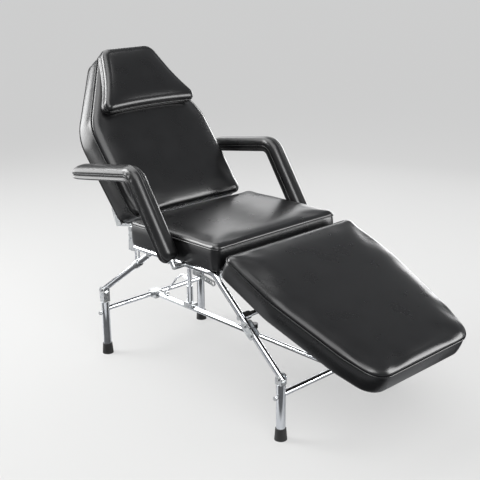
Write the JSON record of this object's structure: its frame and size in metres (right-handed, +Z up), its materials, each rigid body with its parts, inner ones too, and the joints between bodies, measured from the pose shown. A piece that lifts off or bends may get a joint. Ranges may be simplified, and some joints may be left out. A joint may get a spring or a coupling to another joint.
{
  "type": "tattoo chair",
  "caption": "Padded reclining tattoo chair with a headrest pillow, tilting footrest and lift-off armrests on a chrome tube frame.",
  "frame": {"origin": "centre of the footprint, on the floor under the feet", "axes": "+Z up, +X to the sitter's left, -Y towards the footrest, +Y towards the backrest"},
  "size_m": [0.688, 1.4588, 1.0723],
  "materials": {
    "leather": "smooth glossy black upholstery",
    "board": "dark laminated plywood",
    "chrome": "bright chrome plated steel tube",
    "plate": "bright zinc plated sheet steel",
    "fastener": "zinc plated fasteners",
    "rubber": "matt black rubber",
    "knob": "black moulded plastic"
  },
  "bodies": {
    "frame": {"seat_cushion": "leather", "seat_board": "board", "seat_cross_bars": "plate", "side_rail_left": "chrome", "side_rail_right": "chrome", "front_braces": "chrome", "brace_joint_plates": "plate", "front_spreader": "chrome", "spreader_collars": "chrome", "rear_braces": "chrome", "rear_brace_brackets": "plate", "leg_sleeves": "chrome", "leg_heads": "plate", "rear_crossbar": "chrome", "front_crossbar": "chrome", "spine_clamps": "plate", "spine_rear": "chrome", "spine_front": "chrome", "post_saddle": "plate", "post_sleeve": "chrome", "centre_post": "chrome", "rear_cross_tube": "chrome", "stay_rods": "chrome", "stay_rod_clamps": "chrome", "hook_lug": "plate", "frame_hinge_leaves": "plate", "hinge_pivot_bolts": "fastener", "arm_posts": "plate", "adjusting_bar": "plate", "frame_bolts": "fastener"},
    "backrest": {"back_cushion": "leather", "back_board": "board", "back_hinge_leaves": "plate", "back_screws": "fastener"},
    "headrest": {"headrest_pillow": "leather", "headrest_strap": "leather"},
    "footrest": {"foot_cushion": "leather", "foot_board": "board", "foot_hinge_leaves": "plate", "foot_screws": "fastener"},
    "armrest_left": {"arm_pad_left": "leather", "arm_core_left": "plate"},
    "armrest_right": {"arm_pad_right": "leather", "arm_core_right": "plate"},
    "knob": {"spine_knob": "knob"},
    "hook": {"stay_hook": "chrome"},
    "pawl_left": {"back_pawl_left": "plate"},
    "pawl_right": {"back_pawl_right": "plate"},
    "leg_front_left": {"leg_tube_front_left": "chrome", "rubber_foot_front_left": "rubber"},
    "screw_front_left": {"lock_screw_front_left": "fastener"},
    "leg_front_right": {"leg_tube_front_right": "chrome", "rubber_foot_front_right": "rubber"},
    "screw_front_right": {"lock_screw_front_right": "fastener"},
    "leg_rear_left": {"leg_tube_rear_left": "chrome", "rubber_foot_rear_left": "rubber"},
    "screw_rear_left": {"lock_screw_rear_left": "fastener"},
    "leg_rear_right": {"leg_tube_rear_right": "chrome", "rubber_foot_rear_right": "rubber"},
    "screw_rear_right": {"lock_screw_rear_right": "fastener"}
  },
  "joints": [
    {"name": "backrest_recline", "type": "hinge", "parent": "frame", "child": "backrest", "pos_m": [0, 0.30651, 0.52], "axis": [1, 0, 0], "range_deg": [-52.3, 15]},
    {"name": "footrest_tilt", "type": "hinge", "parent": "frame", "child": "footrest", "pos_m": [0, -0.13849, 0.466], "axis": [1, 0, 0], "range_deg": [-24, 16]},
    {"name": "headrest_slide", "type": "slide", "parent": "backrest", "child": "headrest", "axis": [0, 0.6115, 0.7912], "range_m": [0, 0.05]},
    {"name": "knob_turn", "type": "hinge", "parent": "frame", "child": "knob", "pos_m": [0, -0.01549, 0.1592], "axis": [0, 0, 1], "continuous": true},
    {"name": "stay_hook_lift", "type": "hinge", "parent": "frame", "child": "hook", "pos_m": [0, 0.44251, 0.19134], "axis": [1, 0, 0], "range_deg": [-60, 0]},
    {"name": "armrest_left_lift", "type": "slide", "parent": "frame", "child": "armrest_left", "axis": [0, 0.5446, 0.8387], "range_m": [0, 0.06]},
    {"name": "pawl_left_turn", "type": "hinge", "parent": "frame", "child": "pawl_left", "pos_m": [0.249, 0.30651, 0.47], "axis": [1, 0, 0], "range_deg": [0, 20]},
    {"name": "armrest_right_lift", "type": "slide", "parent": "frame", "child": "armrest_right", "axis": [0, 0.5446, 0.8387], "range_m": [0, 0.06]},
    {"name": "pawl_right_turn", "type": "hinge", "parent": "frame", "child": "pawl_right", "pos_m": [-0.249, 0.30651, 0.47], "axis": [1, 0, 0], "range_deg": [0, 20]},
    {"name": "leg_front_left_level", "type": "slide", "parent": "frame", "child": "leg_front_left", "axis": [0, 0, -1], "range_m": [0, 0.02]},
    {"name": "screw_front_left_turn", "type": "hinge", "parent": "frame", "child": "screw_front_left", "pos_m": [0.2805, -0.39349, 0.145], "axis": [1, 0, 0], "continuous": true},
    {"name": "leg_front_right_level", "type": "slide", "parent": "frame", "child": "leg_front_right", "axis": [0, 0, -1], "range_m": [0, 0.02]},
    {"name": "screw_front_right_turn", "type": "hinge", "parent": "frame", "child": "screw_front_right", "pos_m": [-0.2805, -0.39349, 0.145], "axis": [-1, 0, 0], "continuous": true},
    {"name": "leg_rear_left_level", "type": "slide", "parent": "frame", "child": "leg_rear_left", "axis": [0, 0, -1], "range_m": [0, 0.02]},
    {"name": "screw_rear_left_turn", "type": "hinge", "parent": "frame", "child": "screw_rear_left", "pos_m": [0.2455, 0.51051, 0.16], "axis": [1, 0, 0], "continuous": true},
    {"name": "leg_rear_right_level", "type": "slide", "parent": "frame", "child": "leg_rear_right", "axis": [0, 0, -1], "range_m": [0, 0.02]},
    {"name": "screw_rear_right_turn", "type": "hinge", "parent": "frame", "child": "screw_rear_right", "pos_m": [-0.2455, 0.51051, 0.16], "axis": [-1, 0, 0], "continuous": true}
  ]
}
